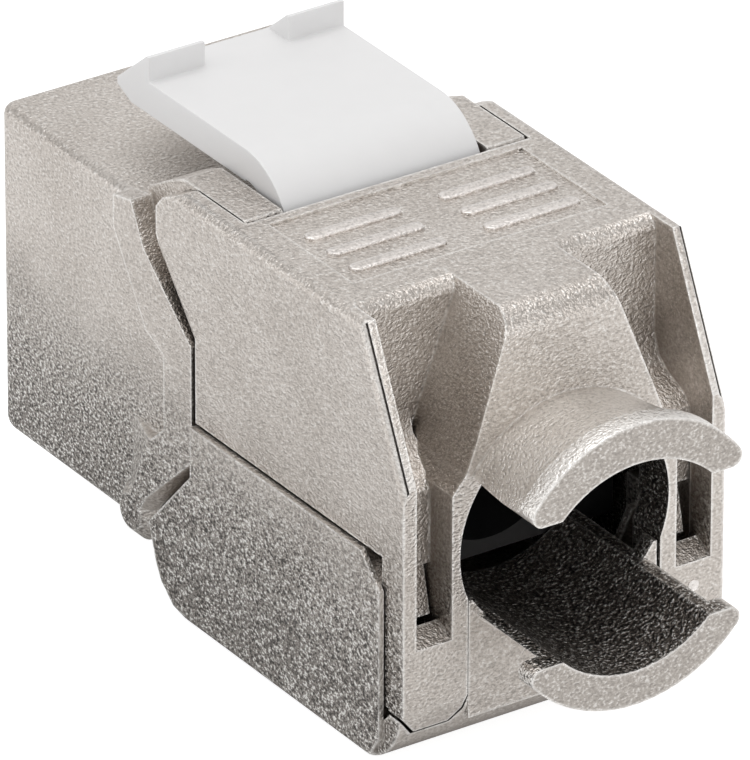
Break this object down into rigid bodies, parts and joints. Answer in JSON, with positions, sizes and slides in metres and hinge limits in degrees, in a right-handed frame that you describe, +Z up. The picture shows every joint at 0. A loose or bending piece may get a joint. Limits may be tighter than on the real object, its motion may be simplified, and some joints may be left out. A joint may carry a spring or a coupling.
{
  "type": "keystone jack",
  "caption": "Shielded keystone jack: cast housing with a modular plug port, a sprung latch, and two hinged rear doors that close a split collar round the cable.",
  "frame": {"origin": "on the surface the jack stands on, under the middle of its width and length", "axes": "+X across the width, +Y from the port face to the cable collar, +Z up from the foot to the latch"},
  "size_m": [0.0166, 0.0368, 0.0224],
  "materials": {
    "casting": "satin nickel plate over a fine-grained casting",
    "latch_plastic": "smooth white",
    "insert_plastic": "matt black",
    "board": "green solder mask",
    "gold_plate": "gold plated",
    "tin_plate": "tin plated",
    "spring_steel": "plain"
  },
  "bodies": {
    "housing": {"front_housing": "casting", "port_insert": "insert_plastic", "circuit_board": "board", "terminal_block": "insert_plastic", "wire_manager": "insert_plastic", "shield_spring_left": "spring_steel", "shield_spring_right": "spring_steel", "contact_1": "gold_plate", "contact_2": "gold_plate", "contact_3": "gold_plate", "contact_4": "gold_plate", "contact_5": "gold_plate", "contact_6": "gold_plate", "contact_7": "gold_plate", "contact_8": "gold_plate", "idc_contact_1": "tin_plate", "idc_contact_2": "tin_plate", "idc_contact_3": "tin_plate", "idc_contact_4": "tin_plate", "idc_contact_5": "tin_plate", "idc_contact_6": "tin_plate", "idc_contact_7": "tin_plate", "idc_contact_8": "tin_plate"},
    "latch_arm": {"latch": "latch_plastic"},
    "upper_shell": {"upper_door": "casting"},
    "lower_shell": {"lower_door": "casting"}
  },
  "joints": [
    {"name": "latch_press", "type": "hinge", "parent": "housing", "child": "latch_arm", "pos_m": [0, -0.00147, 0.018], "axis": [1, 0, 0], "range_deg": [0, 8], "stiffness_Nm_per_rad": 0.4},
    {"name": "upper_door_hinge", "type": "hinge", "parent": "housing", "child": "upper_shell", "pos_m": [0, -0.00323, 0.0178], "axis": [1, 0, 0], "range_deg": [0, 78]},
    {"name": "lower_door_hinge", "type": "hinge", "parent": "housing", "child": "lower_shell", "pos_m": [0, -0.00737, 0.0032], "axis": [-1, 0, 0], "range_deg": [0, 75]}
  ]
}
